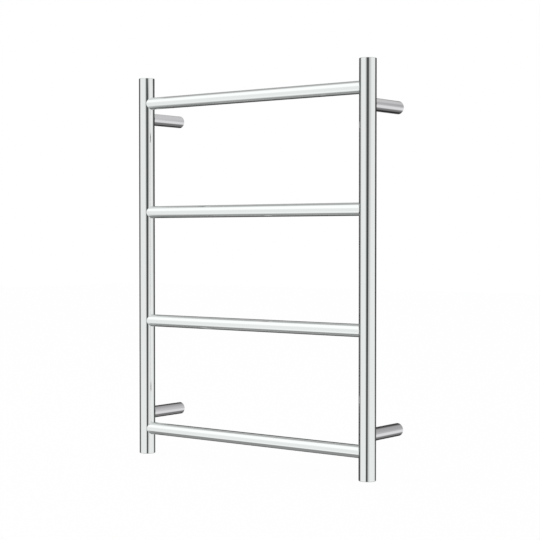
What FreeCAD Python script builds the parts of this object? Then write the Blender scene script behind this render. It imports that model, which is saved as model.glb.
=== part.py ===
import FreeCAD, Part
import math
import os

# Heated towel rail: a round-tube ladder that stands off a wall on four legs.
# Each leg slips over a boss screwed to the wall and is locked by a grub screw.
# +X is to the right seen from the room, +Y points into the wall, +Z is up.
# The origin is on the wall plane, in the middle of the four wall screws.

V = FreeCAD.Vector

# ---- overall sizes, millimetres
HEIGHT = 600.0              # over the uprights' end caps
WIDTH = 450.0               # over the uprights
STANDOFF = 80.0             # wall to the uprights' axis

# ---- tubes
UPRIGHT_OD = 25.0
UPRIGHT_WALL = 1.2
BAR_OD = 19.0
BAR_WALL = 1.2
LEG_OD = 19.0
LEG_WALL = 2.0
BAR_PITCH = 173.0           # between neighbouring cross bars
BAR_NAMES = ["bottom_bar", "lower_bar", "upper_bar", "top_bar"]
LEG_SPACING = 471.0         # between the upper and the lower legs

# ---- fits
SADDLE_GAP = 0.02           # coped tube end to the upright it is welded to
SLIP_FIT = 0.05             # radial, boss in leg and cap in upright
THREAD_FIT = 0.05           # radial, screw in its threaded hole
CABLE_FIT = 0.1             # radial, silicone piece round the cable
PLUG_FIT = 0.05             # radial, silicone plug in a tube

# ---- end caps
CAP_FLANGE = 1.5
CAP_PLUG = 7.0
CAP_EDGE = 0.5              # bevel round the flange

# ---- wall bosses and grub screws
BOSS_LENGTH = 18.0
BOSS_FLAT = 1.5             # depth of the locking flat on the underside
BOSS_BEVEL = 0.5
SCREW_HOLE_R = 2.25         # for an M4 wall screw
SCREW_HEAD_R = 3.75         # its countersunk head
SCREW_OFFSET = 2.0          # hole off the boss's axis, away from mid height
LEG_BEVEL = 0.4             # outer edge at the wall
GRUB_R = 2.0                # M4
GRUB_FROM_WALL = 5.0
GRUB_RECESS = 0.5           # below the leg's surface
GRUB_TIP_GAP = 0.1          # tip to the boss's flat
GRUB_SOCKET_AF = 2.0        # hexagon across its flats
GRUB_SOCKET_DEPTH = 1.5

# ---- supply cord inlet, in the lower right boss
INLET_R = 2.5
INLET_OFFSET = 4.4          # above the boss's axis
GRIP_LENGTH = 8.0
GRIP_GAP = 1.0              # boss to cord grip

# ---- heating cable
CABLE_R = 2.5
CABLE_HOLE_R = 7.0          # drilled in the uprights for the cable
BEND_R = 22.0               # from a bar into an upright
ENTRY_R = 14.0              # from the wired leg into its upright
RISER_OFFSET = 5.5          # riser behind the uprights' axis plane
RISER_JOG = 25.0            # start of the riser's bend above the upper bar
RISER_JOG_LENGTH = 60.0
RISER_JOG_R = 200.0
GUIDE_LENGTH = 8.0
GUIDE_INSET = 42.0          # guide's middle from the uprights' axis
CABLE_END_INSET = 32.0      # cable's dead end from the right upright's axis
BOOT_LENGTH = 14.0
BOOT_WALL = 1.5
BOOT_LAP = 5.0              # boot over the cable

# ---- joint between supply cord and heating cable, in the wired leg
JOINT_GAP = 3.0             # cord grip to joint sleeve
JOINT_LENGTH = 22.0
JOINT_WALL = 1.4
JOINT_LAP = 4.0             # sleeve over the heating cable
FERRULE_R = 0.9
FERRULE_LENGTH = 7.0
FERRULE_GAP = 1.0           # between ferrules, cut-out and cable end
FERRULE_SPREAD = 1.2        # each ferrule off the sleeve's axis
CUTOUT_R = 2.2
CUTOUT_LENGTH = 7.0

# ---- earth bond, at the foot of the wired upright
EARTH_WIRE_R = 1.0
EARTH_WIRE_GAP = 1.0        # wire to the edge of the cable hole
EARTH_BEND_R = 7.0
LUG_THICKNESS = 0.8
LUG_RING_R = 4.2
LUG_REACH = 6.0             # barrel's axis from the screw's axis
LUG_BARREL_WALL = 0.7
LUG_BARREL_LENGTH = 8.0
EARTH_SCREW_R = 2.0
EARTH_SCREW_LENGTH = 5.0
EARTH_HEAD_R = 3.5
EARTH_HEAD_HEIGHT = 2.4
EARTH_HOLE_SPARE = 0.7      # blind hole beyond the screw's end

# ---- worked out from the above
UPRIGHT_R = UPRIGHT_OD / 2
UPRIGHT_BORE = UPRIGHT_R - UPRIGHT_WALL
BAR_R = BAR_OD / 2
BAR_BORE = BAR_R - BAR_WALL
LEG_R = LEG_OD / 2
LEG_BORE = LEG_R - LEG_WALL
UPRIGHT_X = WIDTH / 2 - UPRIGHT_R
RAIL_Y = -STANDOFF
LEG_Z = LEG_SPACING / 2
BAR_Z = [BAR_PITCH * (i - (len(BAR_NAMES) - 1) / 2) for i in range(len(BAR_NAMES))]
BOSS_R = LEG_BORE - SLIP_FIT
SIDES = {"left": -1, "right": 1}
LEVELS = {"bottom": -1, "top": 1}
GRIP_Y = -BOSS_LENGTH - GRIP_GAP                  # cord grip's face to the wall
JOINT_Y = GRIP_Y - GRIP_LENGTH - JOINT_GAP        # joint sleeve's face to the wall
CABLE_START_Y = JOINT_Y - JOINT_LENGTH + JOINT_LAP
PLUG_TOP = -HEIGHT / 2 + CAP_FLANGE + CAP_PLUG    # inner face of a lower cap


def rod(radius, start, axis, length):
    return Part.makeCylinder(radius, length, start, axis)


def tube(outer, inner, start, axis, length):
    return rod(outer, start, axis, length).cut(rod(inner, start, axis, length))


def hexagon(across_flats, start, axis, length):
    """A hexagonal prism along a vertical axis."""
    corner = across_flats / math.sqrt(3)
    points = []
    for i in range(7):
        angle = math.radians(60 * i)
        points.append(start + V(corner * math.cos(angle), corner * math.sin(angle), 0))
    return Part.Face(Part.makePolygon(points)).extrude(axis * length)


def rounded_path(points, radii):
    """Straight runs through the points, joined by tangent arcs of the given radii."""
    edges = []
    here = points[0]
    for before, corner, after, radius in zip(points, points[1:], points[2:], radii):
        inward = (corner - before).normalize()
        outward = (after - corner).normalize()
        turn = inward.getAngle(outward)
        reach = radius * math.tan(turn / 2)
        start = corner - inward * reach
        end = corner + outward * reach
        to_centre = (outward - inward).normalize()
        middle = corner + to_centre * radius * (1 / math.cos(turn / 2) - 1)
        edges.append(Part.LineSegment(here, start).toShape())
        edges.append(Part.Arc(start, middle, end).toShape())
        here = end
    edges.append(Part.LineSegment(here, points[-1]).toShape())
    return Part.Wire(edges)


def cable(points, radii, radius):
    path = rounded_path(points, radii)
    section = Part.Wire(Part.Circle(points[0], points[1] - points[0], radius).toShape())
    return path.makePipeShell([section], True, False)


def upright(side):
    """Tube with a cable hole behind each bar, and one behind the wired leg."""
    x = SIDES[side] * UPRIGHT_X
    base = -HEIGHT / 2 + CAP_FLANGE
    shape = tube(UPRIGHT_R, UPRIGHT_BORE, V(x, RAIL_Y, base), V(0, 0, 1), HEIGHT - 2 * CAP_FLANGE)
    for z in BAR_Z:
        shape = shape.cut(rod(CABLE_HOLE_R, V(x, RAIL_Y, z), V(-SIDES[side], 0, 0), UPRIGHT_OD))
    if side == "right":
        shape = shape.cut(rod(CABLE_HOLE_R, V(x, RAIL_Y, -LEG_Z), V(0, 1, 0), UPRIGHT_OD))
    return shape


def saddle(side):
    """What a coped tube end is cut by, so that it sits round the upright."""
    start = V(SIDES[side] * UPRIGHT_X, RAIL_Y, -HEIGHT / 2)
    return rod(UPRIGHT_R + SADDLE_GAP, start, V(0, 0, 1), HEIGHT)


def cross_bar(z):
    bar = tube(BAR_R, BAR_BORE, V(-UPRIGHT_X, RAIL_Y, z), V(1, 0, 0), 2 * UPRIGHT_X)
    return bar.cut([saddle("left"), saddle("right")])


def leg(side, level):
    """Thick tube from the upright to the wall, threaded below for its grub screw."""
    x = SIDES[side] * UPRIGHT_X
    z = LEVELS[level] * LEG_Z
    shape = tube(LEG_R, LEG_BORE, V(x, RAIL_Y, z), V(0, 1, 0), STANDOFF).cut(saddle(side))
    hole = rod(GRUB_R + THREAD_FIT, V(x, -GRUB_FROM_WALL, z), V(0, 0, -1), LEG_OD)
    bevel = Part.makeCone(LEG_R, LEG_R - LEG_BEVEL, LEG_BEVEL, V(x, -LEG_BEVEL, z), V(0, 1, 0))
    body = rod(LEG_R, V(x, RAIL_Y, z), V(0, 1, 0), STANDOFF - LEG_BEVEL).fuse(bevel)
    return shape.common(body).cut(hole)


def end_cap(side, level):
    """Turned plug with a bevelled flange as wide as the upright."""
    up = LEVELS[level]
    x = SIDES[side] * UPRIGHT_X
    axis = V(0, 0, up)
    seat = V(x, RAIL_Y, up * (HEIGHT / 2 - CAP_FLANGE))
    flange = rod(UPRIGHT_R, seat, axis, CAP_FLANGE - CAP_EDGE)
    crown = Part.makeCone(UPRIGHT_R, UPRIGHT_R - CAP_EDGE, CAP_EDGE,
                          seat + axis * (CAP_FLANGE - CAP_EDGE), axis)
    plug = rod(UPRIGHT_BORE - SLIP_FIT, seat - axis * CAP_PLUG, axis, CAP_PLUG)
    shape = flange.fuse([crown, plug]).removeSplitter()
    if (side, level) == ("right", "bottom"):
        depth = EARTH_SCREW_LENGTH - LUG_THICKNESS + EARTH_HOLE_SPARE
        shape = shape.cut(rod(EARTH_SCREW_R + THREAD_FIT, V(x, RAIL_Y, PLUG_TOP), V(0, 0, -1), depth))
    return shape


def wall_boss(side, level):
    """Spigot that the leg slips over, with an eccentric hole for its wall screw."""
    x = SIDES[side] * UPRIGHT_X
    z = LEVELS[level] * LEG_Z
    front = V(x, -BOSS_LENGTH, z)
    nose = Part.makeCone(BOSS_R - BOSS_BEVEL, BOSS_R, BOSS_BEVEL, front, V(0, 1, 0))
    shaft = rod(BOSS_R, front + V(0, BOSS_BEVEL, 0), V(0, 1, 0), BOSS_LENGTH - BOSS_BEVEL)
    shape = nose.fuse(shaft).removeSplitter()
    flat = Part.makeBox(LEG_OD, BOSS_LENGTH, LEG_R,
                        V(x - LEG_R, -BOSS_LENGTH, z - BOSS_R + BOSS_FLAT - LEG_R))
    head = front + V(0, 0, LEVELS[level] * SCREW_OFFSET)
    sink = Part.makeCone(SCREW_HEAD_R, SCREW_HOLE_R, SCREW_HEAD_R - SCREW_HOLE_R, head, V(0, 1, 0))
    shape = shape.cut([flat, rod(SCREW_HOLE_R, head, V(0, 1, 0), BOSS_LENGTH), sink])
    if (side, level) == ("right", "bottom"):
        shape = shape.cut(rod(INLET_R, front + V(0, 0, INLET_OFFSET), V(0, 1, 0), BOSS_LENGTH))
    return shape


def grub_screw(side, level):
    """Headless screw that bears on the boss's flat from below."""
    x = SIDES[side] * UPRIGHT_X
    z = LEVELS[level] * LEG_Z
    tip = z - BOSS_R + BOSS_FLAT - GRUB_TIP_GAP
    outer = z - LEG_R + GRUB_RECESS
    screw = rod(GRUB_R, V(x, -GRUB_FROM_WALL, outer), V(0, 0, 1), tip - outer)
    socket = hexagon(GRUB_SOCKET_AF, V(x, -GRUB_FROM_WALL, outer), V(0, 0, 1), GRUB_SOCKET_DEPTH)
    return screw.cut(socket)


def heating_cable():
    """Up the wired upright, then back and forth through the bars from top to bottom."""
    right = UPRIGHT_X
    riser_y = RAIL_Y + RISER_OFFSET
    jog = BAR_Z[2] + RISER_JOG
    points = [V(right, CABLE_START_Y, -LEG_Z), V(right, riser_y, -LEG_Z), V(right, riser_y, jog),
              V(right, RAIL_Y, jog + RISER_JOG_LENGTH)]
    radii = [ENTRY_R, RISER_JOG_R, RISER_JOG_R]
    side = 1
    for z in reversed(BAR_Z):
        points.append(V(side * right, RAIL_Y, z))
        points.append(V(-side * right, RAIL_Y, z))
        radii += [BEND_R, BEND_R]
        side = -side
    points[-1] = V(right - CABLE_END_INSET, RAIL_Y, BAR_Z[0])
    return cable(points, radii[:len(points) - 2], CABLE_R)


def cable_guides():
    """Silicone discs that hold the cable in the middle of each bar, near its ends."""
    guides = []
    for z in BAR_Z:
        for side in SIDES.values():
            middle = side * (UPRIGHT_X - GUIDE_INSET)
            start = V(middle - GUIDE_LENGTH / 2, RAIL_Y, z)
            guides.append(tube(BAR_BORE - PLUG_FIT, CABLE_R + CABLE_FIT, start, V(1, 0, 0), GUIDE_LENGTH))
    return Part.makeCompound(guides)


def cable_end_boot():
    """Blind silicone boot over the cable's dead end."""
    end = UPRIGHT_X - CABLE_END_INSET
    start = V(end - BOOT_LAP, RAIL_Y, BAR_Z[0])
    outer = rod(CABLE_R + CABLE_FIT + BOOT_WALL, start, V(1, 0, 0), BOOT_LENGTH)
    return outer.cut(rod(CABLE_R + CABLE_FIT, start, V(1, 0, 0), BOOT_LAP + CABLE_FIT))


def cord_grip():
    """Silicone plug in the wired leg that the supply cord passes through."""
    start = V(UPRIGHT_X, GRIP_Y, -LEG_Z)
    plug = rod(LEG_BORE - PLUG_FIT, start, V(0, -1, 0), GRIP_LENGTH)
    return plug.cut(rod(INLET_R, start + V(0, 0, INLET_OFFSET), V(0, -1, 0), GRIP_LENGTH))


def joint_sleeve():
    inner = CABLE_R + CABLE_FIT
    start = V(UPRIGHT_X, JOINT_Y, -LEG_Z)
    return tube(inner + JOINT_WALL, inner, start, V(0, -1, 0), JOINT_LENGTH)


def crimp_ferrules():
    """Two crimps between the cord's live and neutral and the heating conductors."""
    start_y = CABLE_START_Y + FERRULE_GAP + FERRULE_LENGTH
    crimps = []
    for side in SIDES.values():
        start = V(UPRIGHT_X + side * FERRULE_SPREAD, start_y, -LEG_Z)
        crimps.append(rod(FERRULE_R, start, V(0, -1, 0), FERRULE_LENGTH))
    return Part.makeCompound(crimps)


def thermal_cutout():
    """One-shot cut-out with domed ends, in the sleeve ahead of the crimps."""
    start_y = CABLE_START_Y + 2 * FERRULE_GAP + FERRULE_LENGTH
    body = rod(CUTOUT_R, V(UPRIGHT_X, start_y, -LEG_Z), V(0, 1, 0), CUTOUT_LENGTH)
    return body.makeChamfer(CUTOUT_R / 3, [edge for edge in body.Edges if edge.Closed])


def earth_wire():
    """From the cord grip along the bottom of the wired leg and down to the lug."""
    x = UPRIGHT_X
    y = RAIL_Y + LUG_REACH
    z = -LEG_Z - CABLE_HOLE_R + EARTH_WIRE_R + EARTH_WIRE_GAP
    points = [V(x, GRIP_Y - GRIP_LENGTH, z), V(x, y, z), V(x, y, PLUG_TOP + LUG_THICKNESS)]
    return cable(points, [EARTH_BEND_R], EARTH_WIRE_R)


def earth_lug():
    """Ring under the earth screw, with its crimp barrel bent up beside it."""
    seat = V(UPRIGHT_X, RAIL_Y, PLUG_TOP)
    reach = V(0, LUG_REACH, 0)
    up = V(0, 0, 1)
    inner = EARTH_WIRE_R + CABLE_FIT
    outer = inner + LUG_BARREL_WALL
    strip = Part.makeBox(2 * outer, LUG_REACH, LUG_THICKNESS, seat - V(outer, 0, 0))
    shape = rod(LUG_RING_R, seat, up, LUG_THICKNESS)
    shape = shape.fuse([strip, rod(outer, seat + reach, up, LUG_THICKNESS + LUG_BARREL_LENGTH)])
    bore = rod(inner, seat + reach + up * LUG_THICKNESS, up, LUG_BARREL_LENGTH)
    hole = rod(EARTH_SCREW_R + THREAD_FIT, seat, up, LUG_THICKNESS)
    return shape.cut([bore, hole]).removeSplitter()


def earth_screw():
    seat = V(UPRIGHT_X, RAIL_Y, PLUG_TOP + LUG_THICKNESS)
    head = rod(EARTH_HEAD_R, seat, V(0, 0, 1), EARTH_HEAD_HEIGHT)
    screw = head.fuse(rod(EARTH_SCREW_R, seat, V(0, 0, -1), EARTH_SCREW_LENGTH)).removeSplitter()
    top = seat + V(0, 0, EARTH_HEAD_HEIGHT)
    slot = hexagon(EARTH_HEAD_R, top, V(0, 0, -1), EARTH_HEAD_HEIGHT / 2)
    return screw.cut(slot)


nodes = {
    "heating_cable": heating_cable(),
    "cable_guides": cable_guides(),
    "cable_end_boot": cable_end_boot(),
    "cord_grip": cord_grip(),
    "joint_sleeve": joint_sleeve(),
    "crimp_ferrules": crimp_ferrules(),
    "thermal_cutout": thermal_cutout(),
    "earth_wire": earth_wire(),
    "earth_lug": earth_lug(),
    "earth_screw": earth_screw(),
}
for name, z in zip(BAR_NAMES, BAR_Z):
    nodes[name] = cross_bar(z)
for side in SIDES:
    nodes[side + "_upright"] = upright(side)
    for level in LEVELS:
        corner = level + "_" + side
        nodes[corner + "_leg"] = leg(side, level)
        nodes[corner + "_end_cap"] = end_cap(side, level)
        nodes[corner + "_wall_boss"] = wall_boss(side, level)
        nodes[corner + "_grub_screw"] = grub_screw(side, level)

os.makedirs("parts", exist_ok=True)
for name, shape in nodes.items():
    shape.exportStep("parts/" + name + ".step")
    print(name, len(shape.Solids), "valid" if shape.isValid() else "INVALID", round(shape.Volume, 2))
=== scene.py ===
"""Finish and studio for a wall-hung heated towel rail."""

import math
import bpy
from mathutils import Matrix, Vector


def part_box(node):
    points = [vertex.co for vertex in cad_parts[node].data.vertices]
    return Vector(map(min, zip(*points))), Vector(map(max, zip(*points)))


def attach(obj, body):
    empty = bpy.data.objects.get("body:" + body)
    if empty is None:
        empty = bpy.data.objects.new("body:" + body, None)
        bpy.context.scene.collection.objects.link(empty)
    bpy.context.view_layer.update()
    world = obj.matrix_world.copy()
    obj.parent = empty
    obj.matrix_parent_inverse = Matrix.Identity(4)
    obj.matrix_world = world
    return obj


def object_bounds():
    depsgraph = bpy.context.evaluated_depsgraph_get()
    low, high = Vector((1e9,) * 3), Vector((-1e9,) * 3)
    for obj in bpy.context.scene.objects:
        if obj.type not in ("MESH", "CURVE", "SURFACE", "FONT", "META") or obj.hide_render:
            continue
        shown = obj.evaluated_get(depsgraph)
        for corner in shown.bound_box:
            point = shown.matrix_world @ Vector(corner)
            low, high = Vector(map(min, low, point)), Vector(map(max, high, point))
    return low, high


bl_info = {
    "name": "Towel Rail Finish",
    "version": (1, 0, 0),
    "blender": (4, 5, 0),
    "location": "View3D > Sidebar > Towel Rail",
    "description": "Polished steel finishes, weld fillets and a plain studio for a heated towel rail",
    "category": "Object",
}

import bmesh
import bpy
from bpy.props import FloatProperty, FloatVectorProperty, IntProperty, PointerProperty
from bpy.types import Operator, Panel, PropertyGroup
from mathutils import Vector

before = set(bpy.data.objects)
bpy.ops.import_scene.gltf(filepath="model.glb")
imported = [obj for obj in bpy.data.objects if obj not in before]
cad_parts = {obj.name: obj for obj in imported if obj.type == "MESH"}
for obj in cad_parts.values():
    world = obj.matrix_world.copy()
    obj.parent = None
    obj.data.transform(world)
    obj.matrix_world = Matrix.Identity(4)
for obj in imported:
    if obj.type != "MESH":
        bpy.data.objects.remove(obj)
cad_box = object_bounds()

BARS = ("bottom_bar", "lower_bar", "upper_bar", "top_bar")
SIDES = ("left", "right")
LEVELS = ("bottom", "top")
CORNERS = [level + "_" + side for level in LEVELS for side in SIDES]
RAIL = "rail"
X_AXIS = Vector((1.0, 0.0, 0.0))
Y_AXIS = Vector((0.0, 1.0, 0.0))
Z_AXIS = Vector((0.0, 0.0, 1.0))

# Directions from the rail, as the steel sees its surroundings.
REAR = (-0.537, 0.843, 0.0)
REAR_AT_EYE_LEVEL = (-0.602, 0.799, 0.0)
REAR_GLOW = (0.556, 0.79, -0.26)
LAMP_GLOW = (-0.60, -0.53, 0.60)
FRONT_GLOW = (-0.62, -0.47, -0.63)
REAR_GLOW_TONE = 0.88
# How far the lower wall's tones reach round towards the front.
LOWER_WALL_REACH = 0.25

# Tones of the surroundings from the front of the rail (0) to straight behind it (1).
UPPER_WALL = ((0.0, 1.0), (0.12, 0.92), (0.33, 0.62), (0.48, 0.48), (0.66, 0.42), (0.78, 0.12), (0.92, 0.04))
REAR_FLAG = ((0.0, 1.0), (0.14, 0.95), (0.20, 0.64), (0.36, 0.55), (0.43, 0.18), (0.48, 0.03), (0.62, 0.03),
             (0.80, 0.06), (0.96, 0.14))
LOWER_WALL = ((0.0, 1.0), (0.14, 0.90), (0.22, 0.62), (0.32, 0.38), (0.50, 0.33), (0.80, 0.28), (0.94, 0.18),
              (1.0, 0.03))


def middle(node):
    low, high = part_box(node)
    return (low + high) / 2


def width(node):
    """A node's size along the X axis."""
    low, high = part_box(node)
    return high.x - low.x


# ---------------------------------------------------------------- settings


class SteelSettings(PropertyGroup):
    """Colours and surface of the steel pieces."""

    tube_colour: FloatVectorProperty(
        name="Tube colour", subtype="COLOR", size=3, min=0, max=1, default=(0.80, 0.83, 0.82),
        description="Reflected colour of the polished uprights and bars")
    leg_colour: FloatVectorProperty(
        name="Leg colour", subtype="COLOR", size=3, min=0, max=1, default=(0.80, 0.79, 0.81),
        description="Reflected colour of the legs")
    turned_colour: FloatVectorProperty(
        name="Turned colour", subtype="COLOR", size=3, min=0, max=1, default=(0.56, 0.56, 0.55),
        description="Colour of the turned wall bosses")
    screw_colour: FloatVectorProperty(
        name="Screw colour", subtype="COLOR", size=3, min=0, max=1, default=(0.40, 0.40, 0.41),
        description="Colour of the grub screws")
    polish: FloatProperty(
        name="Polish roughness", min=0, max=1, default=0.04,
        description="Roughness of the mirror polish")
    lathe: FloatProperty(
        name="Turned roughness", min=0, max=1, default=0.28,
        description="Roughness of a turned face")
    polish_line: FloatProperty(
        name="Polishing line width", subtype="DISTANCE", unit="LENGTH", min=0, default=0.0004,
        description="Spacing of the faint lines that the polishing wheel leaves")


class WeldSettings(PropertyGroup):
    """Ground weld fillets where tubes meet the uprights."""

    leg_length: FloatProperty(
        name="Fillet width", subtype="DISTANCE", unit="LENGTH", min=0, default=0.0009,
        description="How far a fillet runs up each tube")
    sink: FloatProperty(
        name="Fillet overlap", subtype="DISTANCE", unit="LENGTH", min=0, default=0.00012,
        description="How far a fillet's edges sit below the tubes' surfaces")
    segments: IntProperty(
        name="Fillet segments", min=16, default=96,
        description="Segments round each fillet")


class InnerSettings(PropertyGroup):
    """Colours of the electrical pieces inside the tubes."""

    jacket_colour: FloatVectorProperty(
        name="Jacket colour", subtype="COLOR", size=3, min=0, max=1, default=(0.42, 0.06, 0.04),
        description="Heating cable's silicone jacket")
    silicone_colour: FloatVectorProperty(
        name="Silicone colour", subtype="COLOR", size=3, min=0, max=1, default=(0.72, 0.72, 0.69),
        description="Guides, boot and cord grip")
    sleeve_colour: FloatVectorProperty(
        name="Sleeve colour", subtype="COLOR", size=3, min=0, max=1, default=(0.03, 0.03, 0.032),
        description="Heat-shrink sleeve over the cold joint")
    tin_colour: FloatVectorProperty(
        name="Tin colour", subtype="COLOR", size=3, min=0, max=1, default=(0.70, 0.69, 0.66),
        description="Tin-plated crimps and lug")
    brass_colour: FloatVectorProperty(
        name="Brass colour", subtype="COLOR", size=3, min=0, max=1, default=(0.68, 0.50, 0.22),
        description="Earth screw")
    earth_green: FloatVectorProperty(
        name="Earth green", subtype="COLOR", size=3, min=0, max=1, default=(0.05, 0.28, 0.06),
        description="Ground colour of the earth wire")
    earth_yellow: FloatVectorProperty(
        name="Earth yellow", subtype="COLOR", size=3, min=0, max=1, default=(0.80, 0.68, 0.04),
        description="Stripe of the earth wire")


class StudioSettings(PropertyGroup):
    """Camera, lamps, floor and surroundings."""

    camera_place: FloatVectorProperty(
        name="Camera place", subtype="TRANSLATION", unit="LENGTH", size=3,
        default=(1.3213, -1.7333, 0.0471), description="Where the camera stands")
    camera_yaw: FloatProperty(
        name="Camera yaw", subtype="ANGLE", default=math.radians(37.836),
        description="Turn of the camera to the left of the wall's normal")
    camera_pitch: FloatProperty(
        name="Camera pitch", subtype="ANGLE", default=math.radians(-1.355),
        description="Tilt of the camera above the horizon")
    lens: FloatProperty(
        name="Lens", subtype="DISTANCE_CAMERA", default=93.33,
        description="Focal length, in millimetres on a 36 mm frame")
    floor_colour: FloatVectorProperty(
        name="Floor colour", subtype="COLOR", size=3, min=0, max=1, default=(0.93, 0.93, 0.93),
        description="Plain pale floor")
    floor_size: FloatProperty(
        name="Floor size", subtype="DISTANCE", unit="LENGTH", min=1, default=12.0,
        description="Side of the square floor")
    shade_share: FloatProperty(
        name="Shade share", subtype="FACTOR", min=0, max=1, default=0.035,
        description="Share of the floor's tone that the object's shadow can take away")
    plain_light: FloatProperty(
        name="Plain light", min=0, default=0.85,
        description="Strength of the even light that the surroundings give")
    under_tone: FloatProperty(
        name="Under tone", min=0, max=1, default=0.22,
        description="How light the surroundings are below and to the right, as the steel shows them")
    lamp_glow: FloatProperty(
        name="Lamp glow", min=0, default=0.25,
        description="Extra tone that the steel shows towards the soft box")
    front_glow: FloatProperty(
        name="Front glow", min=0, default=0.15,
        description="Extra tone that the steel shows low in front")
    line_softness: FloatProperty(
        name="Line softness", min=0, default=1.7,
        description="How much softer the flag's edges are at its top than at its bottom")
    lamp_power: FloatProperty(
        name="Lamp power", subtype="POWER", min=0, default=9.0,
        description="Power of the overhead soft box")


# ---------------------------------------------------------------- node helpers


class Layout:
    """Short names for laying out shader nodes."""

    def __init__(self, tree):
        self.tree = tree
        self.tree.nodes.clear()

    def node(self, kind, **values):
        made = self.tree.nodes.new(kind)
        for name, value in values.items():
            setattr(made, name, value)
        return made

    def wire(self, source, target):
        self.tree.links.new(source, target)

    def put(self, socket, value):
        """Sets a socket, or wires it when the value is another socket."""
        if isinstance(value, bpy.types.NodeSocket):
            self.wire(value, socket)
        else:
            socket.default_value = value

    def maths(self, operation, first, second=0.0, clamp=False):
        made = self.node("ShaderNodeMath", operation=operation, use_clamp=clamp)
        self.put(made.inputs[0], first)
        self.put(made.inputs[1], second)
        return made.outputs[0]

    def step(self, value, start, end, low=0.0, high=1.0):
        """A smooth step from low at start to high at end."""
        made = self.node("ShaderNodeMapRange", interpolation_type="SMOOTHSTEP")
        self.put(made.inputs["Value"], value)
        made.inputs["From Min"].default_value = start
        made.inputs["From Max"].default_value = end
        made.inputs["To Min"].default_value = low
        made.inputs["To Max"].default_value = high
        return made.outputs["Result"]

    def mix(self, share, first, second):
        """Blends two numbers."""
        made = self.node("ShaderNodeMix", data_type="FLOAT")
        self.put(made.inputs[0], share)
        self.put(made.inputs[2], first)
        self.put(made.inputs[3], second)
        return made.outputs[0]

    def blend_colour(self, share, first, second):
        made = self.node("ShaderNodeMix", data_type="RGBA")
        self.put(made.inputs[0], share)
        self.put(made.inputs[6], first)
        self.put(made.inputs[7], second)
        return made.outputs[2]

    def ramp(self, value, stops):
        """A tone that runs through the stops, each a place and a tone."""
        made = self.node("ShaderNodeValToRGB")
        self.put(made.inputs["Fac"], value)
        elements = made.color_ramp.elements
        while len(elements) < len(stops):
            elements.new(1.0)
        for element, (place, tone) in zip(elements, stops):
            element.position = place
            element.color = (tone, tone, tone, 1.0)
        return made.outputs["Color"]

    def along(self, direction, towards):
        """How nearly a direction points towards another."""
        made = self.node("ShaderNodeVectorMath", operation="DOT_PRODUCT")
        self.wire(direction, made.inputs[0])
        made.inputs[1].default_value = Vector(towards).normalized()
        return made.outputs["Value"]

    def noise(self, vector, scale, detail=3.0, roughness=0.5):
        made = self.node("ShaderNodeTexNoise")
        self.put(made.inputs["Vector"], vector)
        made.inputs["Scale"].default_value = scale
        made.inputs["Detail"].default_value = detail
        made.inputs["Roughness"].default_value = roughness
        return made.outputs["Fac"]

    def place(self, stretch=(1.0, 1.0, 1.0)):
        """The piece's own coordinates, in metres, stretched along the axes."""
        made = self.node("ShaderNodeMapping")
        made.inputs["Scale"].default_value = stretch
        self.wire(self.node("ShaderNodeTexCoord").outputs["Object"], made.inputs["Vector"])
        return made.outputs["Vector"]

    def bump(self, height, strength, distance):
        made = self.node("ShaderNodeBump")
        made.inputs["Strength"].default_value = strength
        made.inputs["Distance"].default_value = distance
        self.wire(height, made.inputs["Height"])
        return made.outputs["Normal"]


def opaque(colour):
    return (*colour, 1.0)


def new_material(name):
    material = bpy.data.materials.new(name)
    material.use_nodes = True
    layout = Layout(material.node_tree)
    shader = layout.node("ShaderNodeBsdfPrincipled")
    output = layout.node("ShaderNodeOutputMaterial")
    layout.wire(shader.outputs["BSDF"], output.inputs["Surface"])
    return material, layout, shader


def finish(node, material):
    """Gives a CAD node its material."""
    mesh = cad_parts[node].data
    mesh.materials.clear()
    mesh.materials.append(material)


# ---------------------------------------------------------------- materials


def polished_steel(name, colour, axis):
    """Mirror-polished steel, with the faint lines of a polishing wheel round the tube's axis."""
    steel = bpy.context.scene.steel
    material, layout, shader = new_material(name)
    along = [60.0, 60.0, 60.0]
    along[axis] = 1 / steel.polish_line
    lines = layout.noise(layout.place(along), 1.0, 2.0)
    haze = layout.noise(layout.place(), 22.0, 4.0, 0.55)
    tint = layout.noise(layout.place(), 6.0, 2.0)
    darker = tuple(0.975 * part for part in colour)
    layout.put(shader.inputs["Base Color"], layout.blend_colour(tint, opaque(darker), opaque(colour)))
    shader.inputs["Metallic"].default_value = 1.0
    layout.put(shader.inputs["Roughness"],
               layout.step(haze, 0.35, 0.75, steel.polish * 0.8, steel.polish * 1.5))
    layout.put(shader.inputs["Normal"], layout.bump(lines, 0.04, 0.000002))
    return material


def turned_steel():
    """Turned steel: fine rings about the boss's axis."""
    steel = bpy.context.scene.steel
    material, layout, shader = new_material("turned_steel")
    rings = layout.noise(layout.place((400.0, 9000.0, 400.0)), 1.0, 2.0)
    stain = layout.noise(layout.place(), 180.0, 3.0)
    darker = tuple(0.85 * part for part in steel.turned_colour)
    layout.put(shader.inputs["Base Color"],
               layout.blend_colour(stain, opaque(darker), opaque(steel.turned_colour)))
    shader.inputs["Metallic"].default_value = 1.0
    layout.put(shader.inputs["Roughness"],
               layout.step(rings, 0.3, 0.7, steel.lathe * 0.8, steel.lathe * 1.25))
    layout.put(shader.inputs["Normal"], layout.bump(rings, 0.35, 0.00003))
    return material


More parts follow.
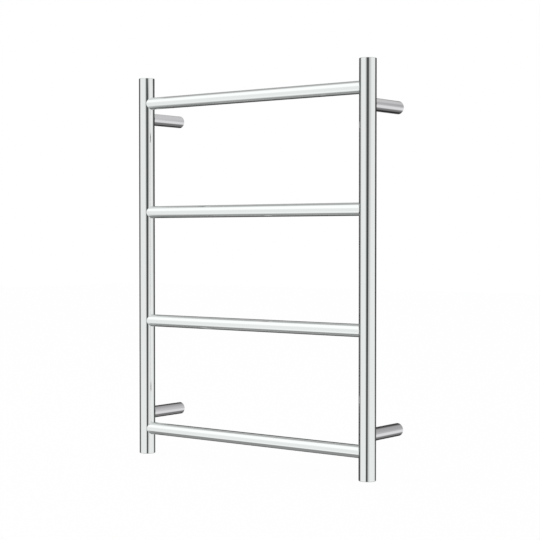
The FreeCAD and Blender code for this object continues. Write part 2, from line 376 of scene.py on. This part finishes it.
def screw_steel(name, colour):
    """Small machined screws, slightly uneven."""
    steel = bpy.context.scene.steel
    material, layout, shader = new_material(name)
    stain = layout.noise(layout.place(), 900.0, 3.0)
    darker = tuple(0.7 * part for part in colour)
    layout.put(shader.inputs["Base Color"], layout.blend_colour(stain, opaque(darker), opaque(colour)))
    shader.inputs["Metallic"].default_value = 1.0
    layout.put(shader.inputs["Roughness"], layout.step(stain, 0.3, 0.7, steel.lathe * 0.7, steel.lathe * 1.1))
    layout.put(shader.inputs["Normal"], layout.bump(stain, 0.2, 0.00002))
    return material


def rubber(name, colour, gloss):
    """Moulded silicone or shrink tube: matt, with a fine grain and dusty patches."""
    material, layout, shader = new_material(name)
    grain = layout.noise(layout.place(), 4200.0, 2.0)
    dust = layout.noise(layout.place(), 160.0, 4.0)
    lighter = tuple(min(1.0, part * 1.12 + 0.01) for part in colour)
    layout.put(shader.inputs["Base Color"], layout.blend_colour(dust, opaque(colour), opaque(lighter)))
    layout.put(shader.inputs["Roughness"], layout.step(dust, 0.3, 0.7, gloss, gloss + 0.15))
    layout.put(shader.inputs["Normal"], layout.bump(grain, 0.25, 0.00004))
    return material


def earth_insulation():
    """Green insulation with a yellow stripe along the wire."""
    inner = bpy.context.scene.inner
    material, layout, shader = new_material("earth_insulation")
    across = layout.node("ShaderNodeSeparateXYZ")
    layout.wire(layout.place(), across.inputs["Vector"])
    off_axis = layout.maths("SUBTRACT", across.outputs["X"], middle("earth_wire").x)
    stripe = layout.step(off_axis, -0.0001, 0.0001)
    layout.put(shader.inputs["Base Color"],
               layout.blend_colour(stripe, opaque(inner.earth_green), opaque(inner.earth_yellow)))
    haze = layout.noise(layout.place(), 700.0)
    layout.put(shader.inputs["Roughness"], layout.step(haze, 0.3, 0.7, 0.3, 0.42))
    return material


# ---------------------------------------------------------------- pieces


class RAIL_OT_polish_uprights(Operator):
    """Gives the two uprights and their end caps a mirror polish"""

    bl_idname = "towel_rail.polish_uprights"
    bl_label = "Polish uprights"

    def execute(self, context):
        tube = polished_steel("upright_polish", context.scene.steel.tube_colour, 2)
        for side in SIDES:
            finish(side + "_upright", tube)
        for corner in CORNERS:
            finish(corner + "_end_cap", tube)
        return {"FINISHED"}


class RAIL_OT_polish_bars(Operator):
    """Gives the cross bars a mirror polish"""

    bl_idname = "towel_rail.polish_bars"
    bl_label = "Polish bars"

    def execute(self, context):
        tube = polished_steel("bar_polish", context.scene.steel.tube_colour, 0)
        for bar in BARS:
            finish(bar, tube)
        return {"FINISHED"}


class RAIL_OT_polish_legs(Operator):
    """Gives the legs a mirror polish"""

    bl_idname = "towel_rail.polish_legs"
    bl_label = "Polish legs"

    def execute(self, context):
        tube = polished_steel("leg_polish", context.scene.steel.leg_colour, 1)
        for corner in CORNERS:
            finish(corner + "_leg", tube)
        return {"FINISHED"}


class RAIL_OT_finish_fixings(Operator):
    """Turns the wall bosses and machines the grub screws"""

    bl_idname = "towel_rail.finish_fixings"
    bl_label = "Finish wall fixings"

    def execute(self, context):
        boss = turned_steel()
        screw = screw_steel("grub_steel", context.scene.steel.screw_colour)
        for corner in CORNERS:
            finish(corner + "_wall_boss", boss)
            finish(corner + "_grub_screw", screw)
        return {"FINISHED"}


class RAIL_OT_finish_wiring(Operator):
    """Colours the heating cable, its joint and the earth bond"""

    bl_idname = "towel_rail.finish_wiring"
    bl_label = "Finish wiring"

    def execute(self, context):
        inner = context.scene.inner
        silicone = rubber("white_silicone", inner.silicone_colour, 0.45)
        tin = screw_steel("tinned_copper", inner.tin_colour)
        finish("heating_cable", rubber("cable_jacket", inner.jacket_colour, 0.4))
        finish("joint_sleeve", rubber("shrink_sleeve", inner.sleeve_colour, 0.35))
        finish("earth_wire", earth_insulation())
        finish("earth_screw", screw_steel("brass", inner.brass_colour))
        for node in ("cable_guides", "cable_end_boot", "cord_grip"):
            finish(node, silicone)
        for node in ("crimp_ferrules", "earth_lug", "thermal_cutout"):
            finish(node, tin)
        return {"FINISHED"}


FILLET_STEPS = 4


def fillet_point(seat, angle, radius, beyond, skin):
    """A point at that radius round the tube, beyond the upright's surface or a skin below it."""
    centre, outward, upright_radius = seat
    side = radius * math.cos(angle)
    depth = math.sqrt((upright_radius - skin) ** 2 - side ** 2)
    across = Z_AXIS.cross(outward)
    return centre + across * side + Z_AXIS * (radius * math.sin(angle)) + outward * (depth + beyond)


def fillet_section(seat, angle, tube_radius):
    """The hollow face from the upright to the tube, and the corner that closes it."""
    weld = bpy.context.scene.weld
    sunk = tube_radius - weld.sink
    on_upright = fillet_point(seat, angle, tube_radius + weld.leg_length, 0.0, weld.sink)
    on_tube = fillet_point(seat, angle, sunk, weld.leg_length, 0.0)
    corner = fillet_point(seat, angle, sunk, 0.0, weld.sink)
    section = []
    for j in range(FILLET_STEPS + 1):
        share = j / FILLET_STEPS
        back = 1 - share
        section.append(on_upright * back ** 2 + corner * 2 * share * back + on_tube * share ** 2)
    return section + [corner]


def fillet_ring(name, centre, outward, tube_radius, upright_radius, material):
    """A closed, hollow-faced fillet round a tube that leaves an upright level, along outward."""
    segments = bpy.context.scene.weld.segments
    seat = (centre, outward, upright_radius)
    shape = bmesh.new()
    rings = []
    for i in range(segments):
        section = fillet_section(seat, math.tau * i / segments, tube_radius)
        rings.append([shape.verts.new(co) for co in section])
    for here, after in zip(rings, rings[1:] + rings[:1]):
        for j in range(len(here)):
            k = (j + 1) % len(here)
            shape.faces.new((here[j], after[j], after[k], here[k]))
    bmesh.ops.recalc_face_normals(shape, faces=shape.faces)
    mesh = bpy.data.meshes.new(name)
    shape.to_mesh(mesh)
    shape.free()
    mesh.shade_smooth()
    mesh.materials.append(material)
    made = bpy.data.objects.new(name, mesh)
    bpy.context.scene.collection.objects.link(made)
    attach(made, RAIL)
    return made


class RAIL_OT_weld_bars(Operator):
    """Runs a ground fillet round each end of each cross bar"""

    bl_idname = "towel_rail.weld_bars"
    bl_label = "Weld bars"

    def execute(self, context):
        low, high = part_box("top_bar")
        bar_radius = (high.z - low.z) / 2
        material = polished_steel("bar_weld", context.scene.steel.tube_colour, 0)
        for side, outward in (("left", X_AXIS), ("right", -X_AXIS)):
            upright = middle(side + "_upright")
            radius = width(side + "_upright") / 2
            for bar in BARS:
                centre = Vector((upright.x, upright.y, middle(bar).z))
                ring = fillet_ring(bar + "_weld_" + side, centre, outward, bar_radius, radius, material)
        return {"FINISHED"}


class RAIL_OT_weld_legs(Operator):
    """Runs a ground fillet round each leg where it leaves its upright"""

    bl_idname = "towel_rail.weld_legs"
    bl_label = "Weld legs"

    def execute(self, context):
        material = polished_steel("leg_weld", context.scene.steel.leg_colour, 1)
        for corner in CORNERS:
            side = corner.split("_")[1]
            upright = middle(side + "_upright")
            centre = Vector((upright.x, upright.y, middle(corner + "_leg").z))
            ring = fillet_ring(corner + "_leg_weld", centre, Y_AXIS,
                               width(corner + "_leg") / 2, width(side + "_upright") / 2, material)
        return {"FINISHED"}


# ---------------------------------------------------------------- studio


def surroundings():
    """White to the camera, plain light on the pieces, and tones for the steel to show.

    The steel shows a white room that darkens behind the rail and below it.
    """
    studio = bpy.context.scene.studio
    world = bpy.data.worlds.new("studio_surroundings")
    world.use_nodes = True
    layout = Layout(world.node_tree)
    direction = layout.node("ShaderNodeTexCoord").outputs["Generated"]
    parts = layout.node("ShaderNodeSeparateXYZ")
    layout.wire(direction, parts.inputs["Vector"])
    height = parts.outputs["Z"]

    rearward = layout.along(direction, REAR)
    above = layout.ramp(rearward, UPPER_WALL)
    level = layout.ramp(layout.along(direction, REAR_AT_EYE_LEVEL), REAR_FLAG)
    below = layout.ramp(layout.maths("ADD", rearward, LOWER_WALL_REACH), LOWER_WALL)
    under_right = layout.maths("MULTIPLY", layout.step(height, -0.46, -0.60),
                               layout.step(parts.outputs["X"], -0.15, 0.15))
    below = layout.mix(under_right, below, studio.under_tone)
    tone = layout.mix(layout.step(height, 0.12, 0.42), level, above)
    tone = layout.mix(layout.step(height, -0.22, -0.42), tone, below)

    rear_glow = layout.step(layout.along(direction, REAR_GLOW), 0.94, 0.99)
    tone = layout.mix(rear_glow, tone, REAR_GLOW_TONE)
    lamp_glow = layout.step(layout.along(direction, LAMP_GLOW), 0.86, 0.99, 0.0, studio.lamp_glow)
    front_glow = layout.step(layout.along(direction, FRONT_GLOW), 0.93, 0.99, 0.0, studio.front_glow)
    tone = layout.maths("ADD", tone, layout.maths("ADD", lamp_glow, front_glow))

    path = layout.node("ShaderNodeLightPath")
    lit = layout.mix(path.outputs["Is Glossy Ray"], studio.plain_light, tone)
    seen = layout.maths("MAXIMUM", path.outputs["Is Camera Ray"], path.outputs["Is Transmission Ray"])
    strength = layout.mix(seen, lit, 1.0)
    background = layout.node("ShaderNodeBackground")
    background.inputs["Color"].default_value = (1.0, 1.0, 1.0, 1.0)
    layout.wire(strength, background.inputs["Strength"])
    output = layout.node("ShaderNodeOutputWorld")
    layout.wire(background.outputs["Background"], output.inputs["Surface"])
    bpy.context.scene.world = world


# The floor lies this far below the rail's lowest point.
FLOOR_GAP = 0.0005


def floor():
    """A plain pale floor just below the rail, which takes a very soft shadow and is clear from below."""
    studio = bpy.context.scene.studio
    half = studio.floor_size / 2
    level = cad_box[0].z - FLOOR_GAP
    mesh = bpy.data.meshes.new("floor")
    mesh.from_pydata([(-half, -half, level), (half, -half, level), (half, half, level), (-half, half, level)],
                     [], [(0, 1, 2, 3)])
    made = bpy.data.objects.new("floor", mesh)
    bpy.context.scene.collection.objects.link(made)
    made.visible_glossy = False

    material, layout, shader = new_material("pale_floor")
    grain = layout.noise(layout.place(), 40.0)
    paler = tuple(min(1.0, part * 1.02) for part in studio.floor_colour)
    layout.put(shader.inputs["Base Color"],
               layout.blend_colour(grain, opaque(studio.floor_colour), opaque(paler)))
    shader.inputs["Roughness"].default_value = 0.9
    glow = layout.node("ShaderNodeEmission")
    glow.inputs["Color"].default_value = (1.0, 1.0, 1.0, 1.0)
    path = layout.node("ShaderNodeLightPath")
    share = layout.maths("MULTIPLY", path.outputs["Is Camera Ray"], 1.0 - studio.shade_share)
    both = layout.node("ShaderNodeMixShader")
    layout.wire(share, both.inputs["Fac"])
    layout.wire(shader.outputs["BSDF"], both.inputs[1])
    layout.wire(glow.outputs["Emission"], both.inputs[2])
    clear = layout.node("ShaderNodeBsdfTransparent")
    from_below = layout.node("ShaderNodeMixShader")
    layout.wire(layout.node("ShaderNodeNewGeometry").outputs["Backfacing"], from_below.inputs["Fac"])
    layout.wire(both.outputs["Shader"], from_below.inputs[1])
    layout.wire(clear.outputs["BSDF"], from_below.inputs[2])
    layout.wire(from_below.outputs["Shader"], layout.tree.nodes["Material Output"].inputs["Surface"])
    mesh.materials.append(material)


# Half the flag's width and height, how far it stands from the rail and to the right of the camera's line.
FLAG_HALF_WIDTH = 1.5
FLAG_HALF_HEIGHT = 1.1
FLAG_DISTANCE = 1.30
FLAG_OFFSET = 0.09
VEIL_DENSITY = 0.5
# The card's half width, lowest and highest points, and its distance behind the wall's plane.
CARD_HALF_WIDTH = 1.3
CARD_FOOT = 0.30
CARD_TOP = 1.10
CARD_BEHIND = 0.45
CARD_DENSITY = 0.85
CARD_TONE = 0.72
# The lower card's sides, front, back and level.
LOWER_CARD_LEFT = -1.4
LOWER_CARD_RIGHT = 0.3
LOWER_CARD_FRONT = -0.50
LOWER_CARD_BACK = 0.10
LOWER_CARD_LEVEL = -0.62
LOWER_CARD_TONE = 0.32


def rectangle(left, right, near, far):
    """The corners of a flat rectangle, each as its two measures."""
    return [(left, near), (right, near), (right, far), (left, far)]


def steel_card(name, corners, material):
    """A flat card that only the steel sees."""
    mesh = bpy.data.meshes.new(name)
    mesh.from_pydata(corners, [], [(0, 1, 2, 3)])
    mesh.materials.append(material)
    made = bpy.data.objects.new(name, mesh)
    bpy.context.scene.collection.objects.link(made)
    made.visible_camera = False
    made.visible_diffuse = False
    made.visible_shadow = False
    made.visible_transmission = False
    return made


def glowing_card(layout, density, tone):
    """A card of an even tone, as dense as given and clear elsewhere."""
    glow = layout.node("ShaderNodeEmission")
    glow.inputs["Strength"].default_value = tone
    clear = layout.node("ShaderNodeBsdfTransparent")
    both = layout.node("ShaderNodeMixShader")
    layout.wire(density, both.inputs["Fac"])
    layout.wire(clear.outputs["BSDF"], both.inputs[1])
    layout.wire(glow.outputs["Emission"], both.inputs[2])
    output = layout.node("ShaderNodeOutputMaterial")
    layout.wire(both.outputs["Shader"], output.inputs["Surface"])


def card_material(name):
    """A new material's layout, with the card's own coordinates."""
    material = bpy.data.materials.new(name)
    material.use_nodes = True
    layout = Layout(material.node_tree)
    parts = layout.node("ShaderNodeSeparateXYZ")
    layout.wire(layout.place(), parts.inputs["Vector"])
    return material, layout, parts


def lower_card():
    """A grey card low under the rail, which starts the lowest bar's dark band higher up."""
    material, layout, parts = card_material("grey_card")
    glowing_card(layout, layout.step(parts.outputs["Y"], -0.44, -0.34), LOWER_CARD_TONE)
    flat = rectangle(LOWER_CARD_LEFT, LOWER_CARD_RIGHT, LOWER_CARD_FRONT, LOWER_CARD_BACK)
    steel_card("lower_card", [(x, y, LOWER_CARD_LEVEL) for x, y in flat], material)


def camera_flag():
    """A dark flag beside the camera, which draws the thin dark line down each upright.

    It leans, and its edges are softer at its top than at its foot.
    """
    material, layout, parts = card_material("black_flag")
    height = parts.outputs["Z"]
    softness = layout.step(height, -0.6, 0.6, 1.0, bpy.context.scene.studio.line_softness)
    lean = layout.step(height, -0.6, 0.5, 0.13, 0.03)
    side = layout.maths("DIVIDE", layout.maths("ADD", parts.outputs["X"], lean), softness)
    core = layout.maths("MULTIPLY", layout.step(side, -0.29, -0.17), layout.step(side, 0.31, 0.15))
    veil = layout.maths("MULTIPLY", layout.step(side, -0.60, -0.10), layout.step(side, 0.95, 0.0))
    veil = layout.maths("MULTIPLY", veil, VEIL_DENSITY)
    core_density = layout.step(height, -0.6, 0.6, 0.96, 0.90)
    density = layout.maths("MAXIMUM", layout.maths("MULTIPLY", core, core_density), veil)
    glowing_card(layout, density, 0.0)

    flat = rectangle(-FLAG_HALF_WIDTH, FLAG_HALF_WIDTH, -FLAG_HALF_HEIGHT, FLAG_HALF_HEIGHT)
    made = steel_card("camera_flag", [(x, 0.0, z) for x, z in flat], material)
    towards = Vector((0.613, -0.790, 0.0))
    across = Vector((0.790, 0.613, 0.0))
    rail_front = Y_AXIS * middle("left_upright").y
    made.location = rail_front + towards * FLAG_DISTANCE + across * FLAG_OFFSET
    made.rotation_euler = (0.0, 0.0, math.atan2(across.y, across.x))


def rear_card():
    """A pale card high behind the rail, which lightens the top legs."""
    material, layout, parts = card_material("pale_card")
    height = parts.outputs["Z"]
    density = layout.maths("MULTIPLY", layout.step(height, 0.38, 0.56),
                           layout.step(height, 1.05, 0.75, 0.0, CARD_DENSITY))
    glowing_card(layout, density, CARD_TONE)
    flat = rectangle(-CARD_HALF_WIDTH, CARD_HALF_WIDTH, CARD_FOOT, CARD_TOP)
    made = steel_card("rear_card", [(x, 0.0, z) for x, z in flat], material)
    made.location.y = CARD_BEHIND


LAMP_DISTANCE = 2.4
LAMP_LENGTH = 2.4
LAMP_WIDTH = 0.7


def soft_box():
    """An overhead soft box, to the front left."""
    studio = bpy.context.scene.studio
    lamp = bpy.data.lights.new("soft_box", "AREA")
    lamp.shape = "RECTANGLE"
    lamp.size = LAMP_LENGTH
    lamp.size_y = LAMP_WIDTH
    lamp.energy = studio.lamp_power
    made = bpy.data.objects.new("soft_box", lamp)
    direction = Vector((-0.55, -0.52, 0.65)).normalized()
    made.location = direction * LAMP_DISTANCE
    made.rotation_euler = direction.to_track_quat("Z", "Y").to_euler()
    made.visible_glossy = False
    bpy.context.scene.collection.objects.link(made)


SENSOR_WIDTH = 36.0


def place_camera():
    """Stands the camera to the right of the rail, level with its middle."""
    studio = bpy.context.scene.studio
    data = bpy.data.cameras.new("camera")
    data.lens = studio.lens
    data.sensor_width = SENSOR_WIDTH
    made = bpy.data.objects.new("camera", data)
    made.location = studio.camera_place
    made.rotation_euler = (math.pi / 2 + studio.camera_pitch, 0.0, studio.camera_yaw)
    bpy.context.scene.collection.objects.link(made)
    bpy.context.scene.camera = made


class RAIL_OT_build_studio(Operator):
    """Places the camera, lays the floor, hangs the lamp and cards, and sets the surroundings"""

    bl_idname = "towel_rail.build_studio"
    bl_label = "Build studio"

    def execute(self, context):
        context.scene.view_settings.view_transform = "Standard"
        place_camera()
        surroundings()
        floor()
        lower_card()
        camera_flag()
        rear_card()
        soft_box()
        return {"FINISHED"}


# ---------------------------------------------------------------- panel and run


class RAIL_PT_finish(Panel):
    """Lists the steps of the finish, in order"""

    bl_idname = "RAIL_PT_finish"
    bl_label = "Towel Rail"
    bl_space_type = "VIEW_3D"
    bl_region_type = "UI"
    bl_category = "Towel Rail"

    def draw(self, context):
        for step in STEPS:
            self.layout.operator(step.bl_idname)
        for name, group in SETTINGS.items():
            box = self.layout.box()
            box.label(text=name.capitalize())
            for prop in group.__annotations__:
                box.prop(getattr(context.scene, name), prop)


SETTINGS = {
    "steel": SteelSettings,
    "weld": WeldSettings,
    "inner": InnerSettings,
    "studio": StudioSettings,
}
STEPS = (
    RAIL_OT_build_studio,
    RAIL_OT_polish_uprights,
    RAIL_OT_polish_bars,
    RAIL_OT_polish_legs,
    RAIL_OT_finish_fixings,
    RAIL_OT_finish_wiring,
    RAIL_OT_weld_bars,
    RAIL_OT_weld_legs,
)
CLASSES = (*SETTINGS.values(), *STEPS, RAIL_PT_finish)


def register():
    for cls in CLASSES:
        bpy.utils.register_class(cls)
    for name, group in SETTINGS.items():
        setattr(bpy.types.Scene, name, PointerProperty(type=group))


def unregister():
    for name in SETTINGS:
        delattr(bpy.types.Scene, name)
    for cls in reversed(CLASSES):
        bpy.utils.unregister_class(cls)


def main():
    register()
    for step in STEPS:
        category, name = step.bl_idname.split(".")
        getattr(getattr(bpy.ops, category), name)()


if __name__ == "__main__":
    main()
